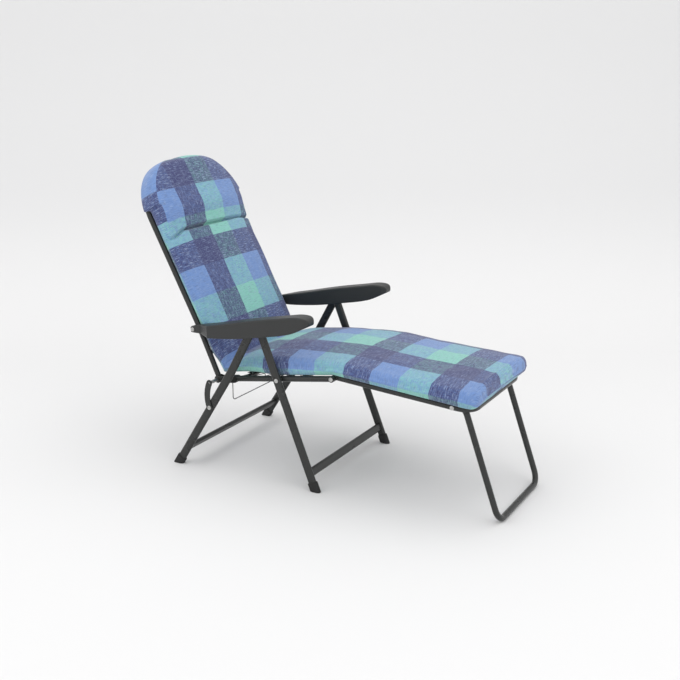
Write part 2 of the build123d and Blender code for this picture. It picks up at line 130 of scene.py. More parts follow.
class Finish:
    """A material in the making."""

    def __init__(self, name):
        self.material = bpy.data.materials.new(name)
        self.material.use_nodes = True
        self.tree = self.material.node_tree
        self.tree.nodes.clear()

    def fill(self, socket, value):
        """Gives a socket a link or a plain value."""
        if isinstance(value, Value):
            self.tree.links.new(value.socket, socket)
        else:
            socket.default_value = value

    def node(self, kind, settings, *values, out=0, **named):
        """Adds a node: its settings, then what its sockets get, in their order or by name."""
        made = self.tree.nodes.new(kind)
        for key, value in settings.items():
            setattr(made, key, value)
        for socket, value in zip(made.inputs, values):
            self.fill(socket, value)
        for name, value in named.items():
            self.fill(made.inputs[name], value)
        return Value(self, made.outputs[out])

    def place(self):
        return self.node("ShaderNodeTexCoord", {}, out="Object")

    def noise(self, place, scale, detail=3.0, stretch=None):
        if stretch:
            place = self.node("ShaderNodeMapping", {}, place, Scale=stretch)
        return self.node("ShaderNodeTexNoise", {}, Vector=place, Scale=scale, Detail=detail)

    def mix(self, share, first, second):
        """Goes from the first colour to the second, by a Mix node's own sockets for colours."""
        first_socket, second_socket, mixed_socket = 6, 7, 2
        mixed = self.node("ShaderNodeMix", {"data_type": "RGBA"}, share, out=mixed_socket)
        sockets = mixed.socket.node.inputs
        for place, colour in ((first_socket, first), (second_socket, second)):
            self.fill(sockets[place], colour if isinstance(colour, Value) else (*colour, 1.0))
        return mixed

    def done(self, colour, roughness, height, depth, **fixed):
        """Joins the surface: colour, roughness and a bump from height over depth metres."""
        normal = self.node("ShaderNodeBump", {}, Height=height, Distance=depth)
        named = {"Base Color": colour, "Roughness": roughness, "Normal": normal, **fixed}
        shader = self.node("ShaderNodeBsdfPrincipled", {}, **named)
        output = self.tree.nodes.new("ShaderNodeOutputMaterial")
        self.tree.links.new(shader.socket, output.inputs["Surface"])
        return self.material


def dress(nodes, material):
    """Gives CAD nodes a material."""
    for node in nodes:
        mesh = frame["nodes"][node].data
        mesh.materials.clear()
        mesh.materials.append(material)


def both(*names):
    """The names of the right and the left piece of each."""
    return [f"{name}_{side}" for name in names for side in ("right", "left")]


def enamel(name, colour, dullness):
    """Baked enamel: the colour a little lighter in clouds, and lighter still and rougher in scuffs."""
    finish = Finish(name)
    place = finish.place()
    peel = finish.noise(place, scale=900.0, detail=2.0)
    cloud = finish.noise(place, scale=9.0, detail=4.0)
    scuff = finish.noise(place, scale=70.0, detail=6.0, stretch=(1.0, 1.0, 0.25)).between(0.62, 0.72)
    cloudy_colour = [1.35 * part for part in colour]
    scuffed_colour = [2.2 * part for part in colour]
    shade = finish.mix(cloud.between(0.3, 0.7) * 0.35, colour, cloudy_colour)
    worn = finish.mix(scuff * 0.3, shade, scuffed_colour)
    roughness = cloud * 0.12 + scuff * 0.12 + dullness
    relief = peel + scuff * 0.4
    return finish.done(worn, roughness, relief, depth=0.00012, **{"Specular IOR Level": 0.4})


frame_enamel = enamel("anthracite_enamel", anthracite, frame_dullness)
dress(
    both("front_leg", "rear_leg", "seat_rail", "hinge_bracket")
    + ["front_crossbar", "rear_crossbar", "seat_rear_bar", "seat_front_bar", "back_hoop", "back_bar"]
    + ["footrest_hoop", "footrest_bar", "foot_leg"],
    frame_enamel,
)
dress(both("link"), enamel("link_enamel", anthracite, link_dullness))

# Feet: black moulded rubber caps, pushed over the legs' ends. They are matt, with fine pits and
# patches of pale dust, and their edges are rounded as the mould leaves them.
black_rubber, dusty_rubber = (0.007, 0.007, 0.007), (0.03, 0.029, 0.027)
cap_weld, cap_voxel, cap_rounding = 1e-6, 0.0011, 22

finish = Finish("foot_rubber")
place = finish.place()
pits = finish.noise(place, scale=1400.0, detail=2.0)
dust = finish.noise(place, scale=60.0, detail=5.0).between(0.5, 0.75)
rubber = finish.mix(dust * 0.25, black_rubber, dusty_rubber)
foot_rubber = finish.done(rubber, dust * 0.15 + 0.62, pits, depth=0.0002)


def settle(piece):
    """Turns a piece's modifiers into a plain mesh with smooth faces."""
    evaluated = piece.evaluated_get(bpy.context.evaluated_depsgraph_get())
    mesh = bpy.data.meshes.new_from_object(evaluated)
    piece.modifiers.clear()
    piece.data = mesh
    for polygon in mesh.polygons:
        polygon.use_smooth = True


def rounded_cap(node, body):
    """A foot as moulded, with its edges rounded over, in place of the CAD's."""
    cap_mesh = frame["nodes"][node].data.copy()
    cap_mesh.materials.clear()
    cap_mesh.materials.append(foot_rubber)
    merged = bmesh.new()
    merged.from_mesh(cap_mesh)
    bmesh.ops.remove_doubles(merged, verts=merged.verts, dist=cap_weld)
    merged.to_mesh(cap_mesh)
    merged.free()
    cap = stand(f"{node}_cap", cap_mesh)
    remesh = cap.modifiers.new("even", "REMESH")
    remesh.mode = "VOXEL"
    remesh.voxel_size = cap_voxel
    rounding = cap.modifiers.new("round", "SMOOTH")
    rounding.factor = 0.5
    rounding.iterations = cap_rounding
    settle(cap)
    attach(cap, body)
    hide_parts(node)


for end in ("front", "rear"):
    for foot in both(f"{end}_foot"):
        rounded_cap(foot, f"{end}_legs")

# Rivets and pins: steel with pressed heads, zinc-plated, dull grey and a little brushed. The frame's
# tubes, brackets and links turn on them.
grey_zinc, pale_zinc = (0.40, 0.40, 0.39), (0.55, 0.55, 0.54)

finish = Finish("zinc_plate")
place = finish.place()
brushed = finish.noise(place, scale=500.0, stretch=(1.0, 0.15, 1.0))
spangle = finish.noise(place, scale=160.0)
zinc = finish.mix(spangle.between(0.35, 0.65), grey_zinc, pale_zinc)
zinc_plate = finish.done(zinc, brushed * 0.2 + 0.25, brushed, depth=0.00008, Metallic=1.0)
dress(
    both("apex_pin", "seat_pin", "link_rivet", "hinge_pin", "knee_pin", "leg_pin", "arm_rivet"),
    zinc_plate,
)

# Wire bail: round steel wire in a dull black coat, bent to a wide U. Its ends sit in holes of the
# hinge brackets, so it swings under the seat's rear end.
wire_black, wire_dullness = (0.03, 0.03, 0.03), 0.35
dress(["lock_wire"], enamel("wire_coat", wire_black, wire_dullness))

# Armrests: mouldings in anthracite plastic with a sparked grain, hollow from below. The toothed
# racks inside them are of the same plastic.
dark_plastic = (0.018, 0.019, 0.019)

finish = Finish("armrest_plastic")
place = finish.place()
grain = finish.noise(place, scale=1100.0, detail=4.0)
flow = finish.noise(place, scale=14.0)
plastic = finish.mix(flow.between(0.3, 0.7) * 0.4, dark_plastic, anthracite)
armrest_plastic = finish.done(plastic, flow * 0.1 + 0.4, grain, depth=0.00022)
dress(both("armrest", "rack"), armrest_plastic)

# Cloth panels: black woven polyester, hemmed along the sides with two rows of stitches and stretched
# between the rails behind the cushion. Steel eyelets along the hems take the laces.
joints = {joint["name"]: joint for joint in frame["joints"]}
hinge = np.array(joints["back_recline"]["pos_m"])
knee = np.array(joints["footrest_drop"]["pos_m"])
leg_pivot = np.array(joints["foot_leg_fold"]["pos_m"])
bend = hinge + np.array((-0.081, 0.0, 0.177))
side = np.array((0.0, 1.0, 0.0))


def unit(vector):
    return vector / np.linalg.norm(vector)


def square_to(way):
    """Square to a side-view direction, towards the sitter."""
    return np.array((-way[2], 0.0, way[0])) * (1 if way[0] > way[2] else -1)


seat_way = unit(knee - hinge)
foot_way = unit(leg_pivot - knee)
low_back_way = unit(bend - hinge)
recline = radians(117.9)
back_way = np.array((cos(recline), 0.0, sin(recline)))
seat_length = np.linalg.norm(knee - hinge)

# The cloth is as thick as this at its doubled hems, and four fifths of it between them
panel_thickness = 0.0012
panel_lift, panel_sag, panel_step = 0.009, 0.003, 0.006
hem_width = 0.013
scallop_depth, scallop_reach = 0.0012, 0.03
lace_pitch = 0.024
eyelet_inset, eyelet_radius, eyelet_wire = 0.005, 0.0042, 0.0011
thread_pitch = 0.0016
first_row_inset, second_row_inset, row_half = 0.003, 0.002, 0.0005
stitch_pitch, stitch_share = 0.004, 0.7

finish = Finish("panel_cloth")
cloth_place = finish.node("ShaderNodeUVMap", {"uv_map": "cloth"})
across = finish.node("ShaderNodeSeparateXYZ", {}, cloth_place, out=0)
along = finish.node("ShaderNodeSeparateXYZ", {}, cloth_place, out=1)
thread_turn = 2 * pi / thread_pitch
weave = (across * thread_turn).maths("SINE") * (along * thread_turn).maths("SINE")
fuzz = finish.noise(finish.place(), scale=300.0)
black = finish.mix(fuzz, (0.016, 0.016, 0.018), (0.035, 0.035, 0.038))
first_row = (across - first_row_inset).maths("ABSOLUTE").below(row_half)
second_row = (across - (hem_width - second_row_inset)).maths("ABSOLUTE").below(row_half)
stitched = (first_row + second_row) * (along / stitch_pitch).maths("FRACT").below(stitch_share)
sewn = finish.mix(stitched, black, (0.09, 0.09, 0.095))
panel_cloth = finish.done(sewn, fuzz * 0.15 + 0.72, weave + stitched * 2, depth=0.0003)

# Geometry Nodes tree for a row of eyelets: a steel ring on each point of the mesh
eyelet_tree = bpy.data.node_groups.new("eyelets", "GeometryNodeTree")
sockets = {}
for socket_name, direction, kind in (
    ("Points", "INPUT", "NodeSocketGeometry"),
    ("Ring Radius", "INPUT", "NodeSocketFloat"),
    ("Wire Radius", "INPUT", "NodeSocketFloat"),
    ("Tilt", "INPUT", "NodeSocketFloat"),
    ("Metal", "INPUT", "NodeSocketMaterial"),
    ("Eyelets", "OUTPUT", "NodeSocketGeometry"),
):
    socket = eyelet_tree.interface.new_socket(socket_name, in_out=direction, socket_type=kind)
    sockets[socket_name] = socket.identifier
made = {}
for key, kind in (
    ("inputs", "NodeGroupInput"),
    ("ring", "GeometryNodeCurvePrimitiveCircle"),
    ("wire", "GeometryNodeCurvePrimitiveCircle"),
    ("sweep", "GeometryNodeCurveToMesh"),
    ("turn", "ShaderNodeCombineXYZ"),
    ("rows", "GeometryNodeInstanceOnPoints"),
    ("real", "GeometryNodeRealizeInstances"),
    ("paint", "GeometryNodeSetMaterial"),
    ("outputs", "NodeGroupOutput"),
):
    made[key] = eyelet_tree.nodes.new(kind)
made["ring"].inputs["Resolution"].default_value = 20
made["wire"].inputs["Resolution"].default_value = 8
for output, entry in (
    (made["inputs"].outputs["Ring Radius"], made["ring"].inputs["Radius"]),
    (made["inputs"].outputs["Wire Radius"], made["wire"].inputs["Radius"]),
    (made["ring"].outputs["Curve"], made["sweep"].inputs["Curve"]),
    (made["wire"].outputs["Curve"], made["sweep"].inputs["Profile Curve"]),
    (made["inputs"].outputs["Points"], made["rows"].inputs["Points"]),
    (made["sweep"].outputs["Mesh"], made["rows"].inputs["Instance"]),
    (made["inputs"].outputs["Tilt"], made["turn"].inputs["Y"]),
    (made["turn"].outputs["Vector"], made["rows"].inputs["Rotation"]),
    (made["rows"].outputs["Instances"], made["real"].inputs["Geometry"]),
    (made["real"].outputs["Geometry"], made["paint"].inputs["Geometry"]),
    (made["inputs"].outputs["Metal"], made["paint"].inputs["Material"]),
    (made["paint"].outputs["Geometry"], made["outputs"].inputs["Eyelets"]),
):
    eyelet_tree.links.new(output, entry)


def eyelets(name, places, way, body):
    """Steel rings in a cloth panel that runs along way."""
    points_mesh = bpy.data.meshes.new(f"{name}_points")
    points_mesh.from_pydata([tuple(place) for place in places], [], [])
    row = stand(name, points_mesh)
    modifier = row.modifiers.new("eyelets", "NODES")
    modifier.node_group = eyelet_tree
    modifier[sockets["Ring Radius"]] = eyelet_radius
    modifier[sockets["Wire Radius"]] = eyelet_wire
    modifier[sockets["Tilt"]] = -atan2(way[2], way[0])
    modifier[sockets["Metal"]] = zinc_plate
    settle(row)
    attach(row, body)
    return row


def closed_form(name, verts, faces):
    """A mesh whose faces point outwards, and the vertex at each corner of its faces."""
    form = bpy.data.meshes.new(name)
    form.from_pydata([tuple(vert) for vert in verts], [], faces)
    work = bmesh.new()
    work.from_mesh(form)
    bmesh.ops.recalc_face_normals(work, faces=work.faces)
    work.to_mesh(form)
    work.free()
    corner_verts = np.empty(len(form.loops), int)
    form.loops.foreach_get("vertex_index", corner_verts)
    return form, corner_verts


def lay_cloth(form, places):
    """Gives each corner of a mesh's faces its place in the cloth, across and along."""
    layer = form.uv_layers.new(name="cloth")
    layer.data.foreach_set("uv", places.astype(np.float32).ravel())


def panel(name, node, line, lace_start, lace_way, lace_length, body):
    """A cloth panel along a side-view line: a thin closed sheet, drawn in a little between eyelets."""
    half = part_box(node)[1][1]
    line = np.array(line)
    steps = np.concatenate(([0], np.cumsum(np.linalg.norm(np.diff(line, axis=0), axis=1))))
    length = steps[-1]
    places = np.linspace(0, length, int(length / panel_step) + 1)
    spine = np.stack([np.interp(places, steps, line[:, k]) for k in range(3)], 1)
    way = np.gradient(spine, axis=0)
    front = np.array([square_to(unit(step)) for step in way])
    # Closer lines of points along the hems
    across_shares = np.concatenate((
        np.linspace(-1, -0.9, 8),
        np.linspace(-0.8, 0.8, 17),
        np.linspace(0.9, 1, 8),
    ))
    verts, cloth_places = [], []
    start_reach = (np.array(lace_start) - spine[0]) @ unit(way[-1])
    for layer in (1, -1):
        for k, place in enumerate(places):
            scallop = scallop_depth * (1 + cos(2 * pi * (place - start_reach) / (2 * lace_pitch)))
            for share in across_shares:
                edge_way = (1 - abs(share)) * half
                hem = 1.0 if edge_way < hem_width else 0.0
                sag = -panel_sag * (1 - share * share) * sin(pi * place / length)
                lift = layer * panel_thickness * (0.4 + 0.1 * hem) + sag
                y = share * (half - scallop * max(0.0, 1 - edge_way / scallop_reach))
                verts.append(spine[k] + front[k] * lift + side * y)
                cloth_places.append((edge_way, place))
    rows, columns = len(places), len(across_shares)
    layer_size = rows * columns
    faces = []
    for k in range(rows - 1):
        for j in range(columns - 1):
            a = k * columns + j
            b = a + columns
            faces.append((a, a + 1, b + 1, b))
            faces.append(tuple(layer_size + corner for corner in (b, b + 1, a + 1, a)))
    rim = [k * columns for k in range(rows)]
    rim += [(rows - 1) * columns + j for j in range(1, columns)]
    rim += [k * columns + columns - 1 for k in range(rows - 2, -1, -1)]
    rim += list(range(columns - 2, 0, -1))
    for a, b in zip(rim, rim[1:] + rim[:1]):
        faces.append((a, b, b + layer_size, a + layer_size))
    panel_mesh, corner_verts = closed_form(name, verts, faces)
    lay_cloth(panel_mesh, np.array(cloth_places)[corner_verts])
    panel_mesh.materials.append(panel_cloth)
    cloth = stand(name, panel_mesh)
    turns = np.arange(1, int(lace_length / lace_pitch) + 1, 2)
    hem_places = [
        np.array(lace_start) + lace_way * (turn * lace_pitch) + square_to(lace_way) * panel_lift
        + side * edge * (half - eyelet_inset)
        for turn in turns
        for edge in (-1, 1)
    ]
    rings_row = eyelets(f"{name}_eyelets", hem_places, lace_way, body)
    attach(cloth, body)
    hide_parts(node)


# The seat's panel starts from the hinge and stops short of the knee
seat_panel_start, seat_panel_stop = 0.092, 0.062
seat_start = hinge + seat_way * seat_panel_start
seat_panel_length = seat_length - seat_panel_start - seat_panel_stop
seat_end = seat_start + seat_way * seat_panel_length
seat_lift = square_to(seat_way) * panel_lift
seat_line = [seat_start + seat_lift, seat_end + seat_lift]
panel("seat_panel", "seat_sling", seat_line, seat_start, seat_way, seat_panel_length, "seat_frame")

# The back's panel starts from the hinge too, and its end and its laces go by the bend
back_panel_start, back_panel_end = 0.112, 0.420
back_lace_start, back_lace_length = 0.060, 0.360
back_start = hinge + low_back_way * back_panel_start
back_end = bend + back_way * back_panel_end
back_lift = square_to(back_way) * panel_lift
back_line = [back_start + back_lift, bend + back_lift, back_end + back_lift]
lace_start = bend + back_way * back_lace_start
panel("back_panel", "back_sling", back_line, lace_start, back_way, back_lace_length, "back")

# The footrest's panel starts from the knee
foot_panel_start, foot_panel_length = 0.062, 0.330
foot_start = knee + foot_way * foot_panel_start
foot_lift = square_to(foot_way) * panel_lift
foot_line = [foot_start + foot_lift, foot_start + foot_way * foot_panel_length + foot_lift]
panel("footrest_panel", "footrest_sling", foot_line, foot_start, foot_way, foot_panel_length, "footrest")

# Laces: black elastic cord, braided. It zigzags between the panels' eyelets and the rails and keeps
# the panels stretched.
finish = Finish("elastic_cord")
place = finish.place()
braid = finish.node("ShaderNodeTexWave", {"bands_direction": "DIAGONAL"}, Vector=place, Scale=400.0)
cord_black = finish.mix(braid, (0.012, 0.012, 0.012), (0.03, 0.03, 0.03))
elastic = finish.done(cord_black, 0.6, braid, depth=0.0002)
dress(both("seat_lace", "back_lace", "footrest_lace"), elastic)

# Cushion: one long pad of foam in a sewn plaid cover, with a thicker headrest above a fold. It is
# swept along the frame as rings, from the headrest's top to the footrest's end, then cut into
# lengths. The cover's cloth wraps each ring, so its checks follow it.
under_points, flank_points, top_points = 14, 12, 38
seam_point = under_points + flank_points
ring_points = 2 * (seam_point + top_points)
round_limit, crown_power, shoulder_steps = 0.45, 2.4, 6
underside = 0.0108
back_half, seat_half = 0.2345, 0.2315
back_edge, back_crown, seat_edge, seat_crown = 0.056, 0.014, 0.06, 0.012
crease_rise, hood_rise = 0.331, 0.434


def even(run, count):
    """A run of points at an even spacing, and how far along it each lies."""
    steps = np.concatenate(([0], np.cumsum(np.linalg.norm(np.diff(run, axis=0), axis=1))))
    places = np.linspace(0, steps[-1], count)
    return np.stack([np.interp(places, steps, run[:, k]) for k in (0, 1)], 1), places


def outline(half, low, edge, crown, low_round, high_round, bulge=0.006):
    """A ring of the cushion, as (y, lift), from the middle of the underside to the left side first,
    and how far each point lies from the middle of the top, round the ring. The flank ends at the
    seam, halfway round the shoulder."""
    height = edge - low
    low_round = min(low_round, height * round_limit)
    high_round = min(high_round, height * round_limit)
    turn = np.linspace(0, pi / 2, 2 * shoulder_steps + 1)
    climb = np.linspace(0, 1, 14)[1:-1]
    inwards = 1 - np.linspace(0, 1, 40)[1:]
    shoulder_y = half - high_round * (1 - np.cos(turn))
    shoulder_z = edge - high_round * (1 - np.sin(turn))
    flank_y = np.concatenate((
        half - low_round + low_round * np.sin(turn),
        half + bulge * np.sin(climb * pi),
        shoulder_y[:shoulder_steps + 1],
    ))
    flank_z = np.concatenate((
        low + low_round * (1 - np.cos(turn)),
        low + low_round + climb * (height - low_round - high_round),
        shoulder_z[:shoulder_steps + 1],
    ))
    top_y = np.append(shoulder_y[shoulder_steps:], (half - high_round) * inwards)
    top_z = np.append(shoulder_z[shoulder_steps:], edge + crown * (1 - inwards ** crown_power))
    under, _ = even(np.array(((0, low), (half - low_round, low))), under_points + 1)
    flank, flank_way = even(np.stack((flank_y, flank_z), 1), flank_points + 1)
    top, top_way = even(np.stack((top_y, top_z), 1), top_points + 1)
    left = np.concatenate((under, flank[1:], top[1:]))
    wrap = np.concatenate((
        top_way[-1] + flank_way[-1] + under[-1, 0] - under[:, 0],
        top_way[-1] + flank_way[-1] - flank_way[1:],
        top_way[-1] - top_way[1:],
    ))
    return np.concatenate((left, left[-2:0:-1] * (-1, 1))), np.concatenate((wrap, -wrap[-2:0:-1]))


# Where the cloth's weft bands start: up the back from its bend, and along the seat from the hinge
band_rises = np.array((0.580, 0.476, 0.371, 0.285, 0.1906, 0.084, -0.020, -0.124))
band_seats = np.array((0.092, 0.194, 0.296, 0.398, 0.497, 0.594, 0.695, 0.802, 0.900, 1.000, 1.100))
band_width = 0.105
right_sag, left_sag, sag_from, sag_to, sag_reach = 0.022, 0.008, 0.15, 0.235, 0.06
rings, wraps, bands, lifts, rises, zones = [], [], [], [], [], []


def smooth(value, low, high):
    t = np.clip((value - low) / (high - low), 0, 1)
    return t * t * (3 - 2 * t)


def add_ring(origin, lift_way, zone, drop=0.0, **shape):
    """Adds a ring at origin, and its place in the cloth's weft bands. Round the footrest's end the
    bands go on down the ring, by drop. The fold's line sags towards the sides."""
    points, wrapped = outline(**shape)
    ring = origin + points[:, :1] * side + points[:, 1:] * lift_way
    height = shape["edge"] + shape["crown"]
    top = origin + lift_way * height
    rise = (top - bend) @ back_way
    if zone in ("pillow", "back"):
        band = np.interp(-rise, -band_rises, np.arange(len(band_rises)))
        band += min(0, (band_rises[0] - rise) / band_width)
        band += max(0, (band_rises[-1] - rise) / band_width)
        sag = np.where(points[:, 0] < 0, right_sag, left_sag)
        sag = sag * smooth(np.abs(points[:, 0]), sag_from, sag_to)
        near_fold = 1 - smooth(abs(rise - crease_rise), 0.0, sag_reach)
        ring = ring - (sag * near_fold)[:, None] * back_way
    else:
        reach = (top - hinge) @ seat_way if zone == "seat" else seat_length + (top - knee) @ foot_way
        band = len(band_rises) + np.interp(reach, band_seats, np.arange(len(band_seats)))
        band += min(0, (reach - band_seats[0]) / band_width)
    rings.append(ring)
    wraps.append(wrapped)
    bands.append(band + drop * (height - points[:, 1]) / band_width)
    lifts.append(points[:, 1])
    rises.append(rise)
    zones.append(zone)


# The headrest's hooded arch over the frame's hoop
back_front = square_to(back_way)
arch_centre, arch_reach, arch_half, arch_middle = 0.404, 0.190, 0.185, 0.060
arch_low, arch_edge, top_round = -0.0145, 0.074, 0.034
for angle in np.radians(np.concatenate((np.linspace(89, 72, 9), np.linspace(69, 11, 16)))):
    rise = arch_centre + arch_reach * sin(angle)
    past = max(0.0, rise - (arch_centre + arch_reach - top_round)) / top_round
    inset = top_round * (1 - (1 - past ** 2) ** 0.5)
    add_ring(
        bend + back_way * rise,
        back_front,
        "pillow",
        half=arch_middle + arch_half * cos(angle),
        low=arch_low + inset * 0.08,
        edge=arch_edge - inset,
        crown=0.016,
        low_round=0.014,
        high_round=0.028,
        bulge=0.003,
    )

# The headrest's body, the fold and the back above its bend
hood_half, hood_depth, hood_hem = 0.2427, 0.014, 0.003
fold_half, fold_depth, fold_flat = 0.005, 0.014, 0.012
pillow_reach, pillow_gain, pillow_crown_gain = 0.08, 0.018, 0.004
for rise in np.concatenate((
    [hood_rise, hood_rise - hood_hem],
    np.linspace(hood_rise - 0.010, crease_rise + 0.03, 8),
    np.linspace(crease_rise + 0.025, crease_rise - 0.025, 25),
    np.linspace(crease_rise - 0.035, 0.06, 26),
)):
    over = smooth(rise, hood_rise - hood_hem, hood_rise)
    fold = np.exp(-(((rise - crease_rise) / fold_half) ** 2))
    pillow = smooth(rise, crease_rise, crease_rise + pillow_reach)
    add_ring(
        bend + back_way * rise,
        back_front,
        "pillow" if rise > crease_rise else "back",
        half=back_half + (hood_half - back_half) * over,
        low=underside - (underside + hood_depth) * over,
        edge=back_edge + pillow_gain * pillow - fold_depth * fold,
        crown=back_crown + pillow_crown_gain * pillow - fold_flat * fold,
        low_round=0.008 + 0.006 * over,
        high_round=0.026,
        bulge=0.005,
    )

# The back's lower part leans over to the crease at the hinge, and its last rings go with the seat
crease_way = unit(seat_way - low_back_way)
crease_lean = square_to(crease_way)
low_back_front = square_to(low_back_way)
first_share, square_share, hinge_gain, hinge_gap = 0.04, 0.2, 0.004, 0.012
low_back_rings, rings_to_cut = 28, 8
for share in np.linspace(first_share, 1, low_back_rings):
    lean = unit(back_front * (1 - share) + crease_lean * share)
    reach = 1 / (low_back_front @ lean) if share > square_share else 1.0
    add_ring(
        bend + (hinge - bend) * share,
        lean * reach,
        "back" if share < 1 else "seat",
        half=back_half + (seat_half - back_half) * share,
        low=underside + hinge_gap * smooth(share, 0.5, 1),
        edge=back_edge + hinge_gain * share,
        crown=back_crown - hinge_gain * share,
        low_round=0.008 + 0.016 * smooth(share, 0.4, 1),
        high_round=0.026,
    )
cut_ring = len(rings) - 1 - rings_to_cut
cut_share = 1 - rings_to_cut * (1 - first_share) / (low_back_rings - 1)
cut_lean = unit(back_front * (1 - cut_share) + crease_lean * cut_share)
cut_way = np.array((-cut_lean[2], 0.0, cut_lean[0]))

# The seat leans back from the crease, is plump in its rear half and dips a little at the knee
seat_front = square_to(seat_way)
foot_front = square_to(foot_way)
knee_reach, dip_depth, dip_reach = 0.14, 0.004, 0.035
seat_gap, seat_plump, seat_crown_gain = 0.009, 0.014, 0.003


def knee_dip(way):
    """How much thinner the cushion is at this distance from the knee."""
    return dip_depth * np.exp(-((way / dip_reach) ** 2))


for place in np.concatenate((np.linspace(0.006, 0.16, 22), np.linspace(0.168, seat_length - 0.008, 36))):
    share = 1 - smooth(place, -0.05, 0.17)
    near_knee = smooth(place, seat_length - knee_reach, seat_length + knee_reach)
    lean = unit(
        seat_front * (1 - share - near_knee * (1 - share))
        + crease_lean * share
        + foot_front * near_knee * (1 - share)
    )
    gap = smooth(place, -0.12, 0.03) * (1 - smooth(place, 0.13, 0.25))
    plump = smooth(place, 0.02, 0.14) * (1 - smooth(place, 0.25, seat_length + 0.02))
    add_ring(
        hinge + seat_way * place,
        lean / (seat_front @ lean),
        "seat",
        half=seat_half,
        low=underside + seat_gap * gap,
        edge=seat_edge + seat_plump * plump - knee_dip(seat_length - place),
        crown=seat_crown + seat_crown_gain * plump,
        low_round=0.008 + 0.014 * gap,
        high_round=0.028,
    )
    if place < seat_length / 2:
        middle_ring = len(rings) - 1

# The footrest's length leaves the seat's on the cut at the knee
knee_lean = unit(seat_front + foot_front)
add_ring(
    knee,
    knee_lean * (1 / (seat_front @ knee_lean)),
    "foot",
    half=seat_half,
    low=underside,
    edge=0.056,
    crown=seat_crown,
    low_round=0.01,
    high_round=0.028,
)
knee_ring = len(rings) - 1
foot_end, end_round = 0.500, 0.026
foot_gain, foot_widening = 0.007, 0.0015
corner_reach, corner_inset = 0.045, 0.03
for place in np.linspace(0.008, foot_end - end_round, 48):
    near_knee = 1 - smooth(place, -knee_reach, knee_reach)
    lean = unit(foot_front * (1 - near_knee) + seat_front * near_knee)
    corner = max(0.0, place - (foot_end - corner_reach)) / corner_reach
    widened = seat_half + foot_widening * smooth(place, 0.2, foot_end)
    last_half = widened - corner_inset * (1 - (1 - corner ** 2) ** 0.5)
    thick = seat_edge + foot_gain * smooth(place, 0.1, foot_end) - knee_dip(place)
    add_ring(
        knee + foot_way * place,
        lean / (foot_front @ lean),
        "foot",
        half=last_half,
        low=underside,
        edge=thick,
        crown=seat_crown,
        low_round=0.012,
        high_round=0.024,
    )

# The footrest's end is rounded over, and then nearly flat
side_pull, low_pull, end_inset, end_crown, end_proud = 1.4, 0.8, 0.0275, 0.004, 0.003
for angle in np.linspace(radians(10), radians(90), 9):
    last_inset = end_round * (1 - cos(angle)) * 0.8
    add_ring(
        knee + foot_way * (foot_end - end_round * (1 - sin(angle))),
        foot_front,
        "foot",
        drop=1.0,
        half=last_half - last_inset * side_pull,
        low=underside + last_inset * low_pull,
        edge=thick - last_inset,
        crown=seat_crown * cos(angle) + end_crown,
        low_round=0.012,
        high_round=0.02,
    )
for share in np.linspace(0.2, 1, 5):
    inset = last_inset + (end_inset - last_inset) * share * 0.98
    add_ring(
        knee + foot_way * (foot_end + end_proud * share),
        foot_front,
        "foot",
        drop=1.0,
        half=last_half - side_pull * last_inset - (inset - last_inset),
        low=underside + inset * low_pull,
        edge=thick - inset,
        crown=end_crown * (1 - share),
        low_round=0.012,
        high_round=0.02,
        bulge=0.0,
    )

# One closed skin over all rings, with its ends filled across from the left and the right half
points = np.array(rings).reshape(-1, 3)
ring_count = len(rings)
faces = []
for ring in range(ring_count - 1):
    for turn in range(ring_points):
        after = (turn + 1) % ring_points
        a, b = ring * ring_points, (ring + 1) * ring_points
        faces.append((a + turn, a + after, b + after, b + turn))
half_ring = ring_points // 2
for base in (0, (ring_count - 1) * ring_points):
    for turn in range(half_ring // 2):
        a, b = turn, turn + 1
        left_side = (a, b, half_ring - b, half_ring - a)
        right_side = (-a % ring_points, -b % ring_points, half_ring + b, half_ring + a)
        for corners in (left_side, right_side):
            faces.append([base + corner for corner in dict.fromkeys(corners)])
mesh, corner_points = closed_form("cushion", points, faces)

# The cloth round the rings, in bands. Under its seam the headrest has a gusset with checks of its own.
warp_width, warp_shift = 0.111, 0.258
gusset_shift, gusset_rise = 0.15, 0.480
crease_ring = zones.index("back")
point_lifts = np.array(lifts).ravel()
point_rises = np.repeat(rises, ring_points)
warp_places = (np.array(wraps).ravel() + warp_shift) / warp_width
band_places = np.stack((warp_places, np.array(bands).ravel()), 1)[corner_points]
for polygon in mesh.polygons:
    ring = min(polygon.vertices) // ring_points
    turns = [vertex % ring_points for vertex in polygon.vertices]
    below_seam = max(turns) <= seam_point or min(turns) >= ring_points - seam_point or 0 in turns
    if ring < crease_ring - 1 and below_seam:
        for corner in polygon.loop_indices:
            point = corner_points[corner]
            warp_place = gusset_shift + point_lifts[point] / warp_width
            band_places[corner] = (warp_place, 1 - (gusset_rise - point_rises[point]) / band_width)
lay_cloth(mesh, band_places)

# The plaid: navy, blue and mint bands both ways, woven from uneven yarns with pale and dark streaks
navy, blue, mint = (0.038, 0.045, 0.150), (0.145, 0.258, 0.535), (0.225, 0.550, 0.465)
pale_weft, pale_warp, dark_yarn = (0.32, 0.41, 0.60), (0.30, 0.39, 0.58), (0.020, 0.024, 0.085)

finish = Finish("plaid_cloth")
cloth_place = finish.node("ShaderNodeUVMap", {"uv_map": "cloth"})
u = finish.node("ShaderNodeSeparateXYZ", {}, cloth_place, out=0)
v = finish.node("ShaderNodeSeparateXYZ", {}, cloth_place, out=1)


